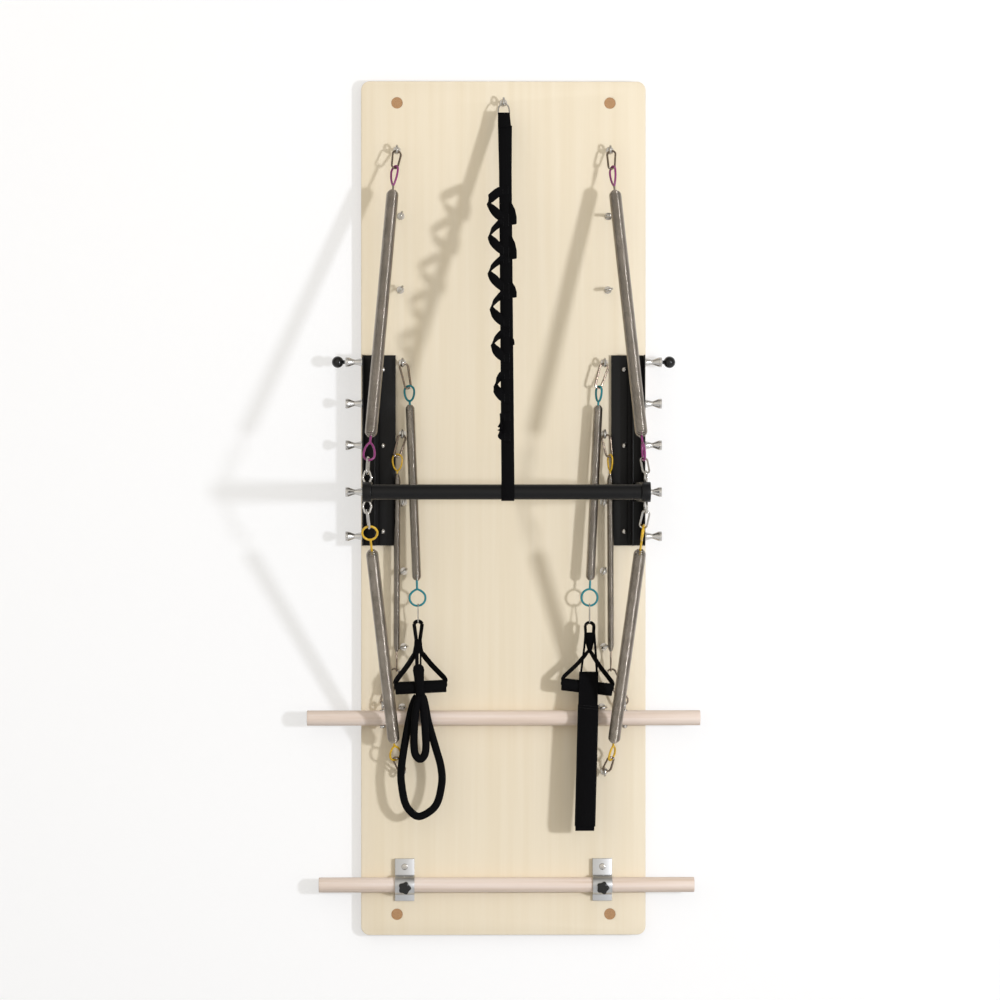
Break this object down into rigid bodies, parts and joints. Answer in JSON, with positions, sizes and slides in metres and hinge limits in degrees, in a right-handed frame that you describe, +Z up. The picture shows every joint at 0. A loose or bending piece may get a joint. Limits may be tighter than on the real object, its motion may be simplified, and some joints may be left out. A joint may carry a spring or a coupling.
{
  "type": "wall-mounted pilates tower unit",
  "caption": "Wall board for spring exercise: push-through bar on pivoting arms, hung springs with handles, foot loops, ladder strap, roll-down bar and clamped foot bar.",
  "frame": {"origin": "centre of the board's back face, where it meets the wall", "axes": "+Z up along the board, +Y into the wall, so the board's front faces -Y; +X to the right as seen from the front"},
  "size_m": [0.91, 0.4525, 1.98],
  "materials": {
    "maple_board": "pale maple-faced ply, satin lacquer",
    "pale_wood": "pale turned hardwood, fine sanded",
    "black_satin_metal": "black satin powder coat",
    "chrome_fittings": "bright plated steel",
    "spring_steel": "plain close-wound spring wire, satin",
    "black_webbing": "woven black webbing",
    "black_foam": "black closed-cell foam, matt",
    "black_plastic": "black moulded plastic",
    "aluminium_clamp": "satin aluminium"
  },
  "bodies": {
    "wall_board": {"backboard": "maple_board", "eye_bolt_top_center": "chrome_fittings", "eye_bolt_left_row_1": "chrome_fittings", "eye_bolt_left_row_4": "chrome_fittings", "eye_bolt_left_row_5": "chrome_fittings", "eye_bolt_left_row_10": "chrome_fittings", "eye_bolt_right_row_1": "chrome_fittings", "eye_bolt_right_row_4": "chrome_fittings", "eye_bolt_right_row_5": "chrome_fittings", "eye_bolt_right_row_10": "chrome_fittings", "side_bracket_left": "black_satin_metal", "side_bracket_right": "black_satin_metal", "ball_knob_left": "black_plastic", "ball_knob_right": "black_plastic", "pivot_pin_left": "chrome_fittings", "pivot_pin_right": "chrome_fittings", "upper_snap_hook_left": "chrome_fittings", "upper_snap_hook_right": "chrome_fittings", "upper_spring_left": "spring_steel", "upper_spring_right": "spring_steel", "lower_snap_hook_left": "chrome_fittings", "lower_snap_hook_right": "chrome_fittings", "lower_spring_left": "spring_steel", "lower_spring_right": "spring_steel", "roll_down_top_hook_left": "chrome_fittings", "roll_down_top_hook_right": "chrome_fittings", "roll_down_spring_left": "spring_steel", "roll_down_spring_right": "spring_steel", "foot_clamp_left": "aluminium_clamp", "foot_clamp_right": "aluminium_clamp", "strap_d_ring": "chrome_fittings", "ladder_strap": "black_webbing"},
    "push_bar": {"push_through_bar": "black_satin_metal", "bar_arm_left": "black_satin_metal", "bar_arm_right": "black_satin_metal", "upper_bar_link_left": "chrome_fittings", "upper_bar_link_right": "chrome_fittings", "lower_bar_link_left": "chrome_fittings", "lower_bar_link_right": "chrome_fittings"},
    "roll_down": {"roll_down_bar": "pale_wood", "roll_down_bar_hook_left": "chrome_fittings", "roll_down_bar_hook_right": "chrome_fittings"},
    "foot_bar": {"foot_bar": "pale_wood"},
    "pull_spring_left": {"pull_spring_hook_left": "chrome_fittings", "pull_spring_left": "spring_steel"},
    "handle_left": {"handle_link_left": "chrome_fittings", "handle_webbing_left": "black_webbing", "handle_grip_left": "black_foam", "foot_loops_left": "black_webbing"},
    "star_knob_left": {"star_knob_left": "black_plastic"},
    "pull_spring_right": {"pull_spring_hook_right": "chrome_fittings", "pull_spring_right": "spring_steel"},
    "handle_right": {"handle_link_right": "chrome_fittings", "handle_webbing_right": "black_webbing", "handle_grip_right": "black_foam", "foot_strap_right": "black_webbing"},
    "star_knob_right": {"star_knob_right": "black_plastic"}
  },
  "joints": [
    {"name": "push_bar_swing", "type": "hinge", "parent": "wall_board", "child": "push_bar", "pos_m": [0, -0.06, 0.0376], "axis": [-1, 0, 0], "range_deg": [-35, 40], "stiffness_Nm_per_rad": 60, "springref_deg": 13.29, "deforming": ["upper_spring_left", "upper_spring_right", "lower_spring_left", "lower_spring_right", "ladder_strap"]},
    {"name": "roll_down_pull", "type": "slide", "parent": "wall_board", "child": "roll_down", "axis": [0, 0, -1], "range_m": [0, 0.05], "stiffness_N_per_m": 300, "springref_m": -0.05, "deforming": ["roll_down_spring_left", "roll_down_spring_right"]},
    {"name": "foot_bar_shift", "type": "slide", "parent": "wall_board", "child": "foot_bar", "axis": [1, 0, 0], "range_m": [-0.025, 0.025]},
    {"name": "pull_swing_left", "type": "hinge", "parent": "wall_board", "child": "pull_spring_left", "pos_m": [-0.234, -0.061, 0.337], "axis": [-1, 0, 0], "range_deg": [0, 42]},
    {"name": "pull_stretch_left", "type": "slide", "parent": "pull_spring_left", "child": "handle_left", "axis": [0.0416, -0.15, -0.9878], "range_m": [0, 0.07], "stiffness_N_per_m": 150, "springref_m": -0.06, "deforming": ["pull_spring_left"]},
    {"name": "star_knob_turn_left", "type": "hinge", "parent": "wall_board", "child": "star_knob_left", "pos_m": [-0.229, -0.075, -0.87719], "axis": [0, -1, 0], "continuous": true},
    {"name": "pull_swing_right", "type": "hinge", "parent": "wall_board", "child": "pull_spring_right", "pos_m": [0.234, -0.061, 0.337], "axis": [-1, 0, 0], "range_deg": [0, 42]},
    {"name": "pull_stretch_right", "type": "slide", "parent": "pull_spring_right", "child": "handle_right", "axis": [-0.0416, -0.15, -0.9878], "range_m": [0, 0.07], "stiffness_N_per_m": 150, "springref_m": -0.06, "deforming": ["pull_spring_right"]},
    {"name": "star_knob_turn_right", "type": "hinge", "parent": "wall_board", "child": "star_knob_right", "pos_m": [0.229, -0.075, -0.87719], "axis": [0, -1, 0], "continuous": true}
  ]
}
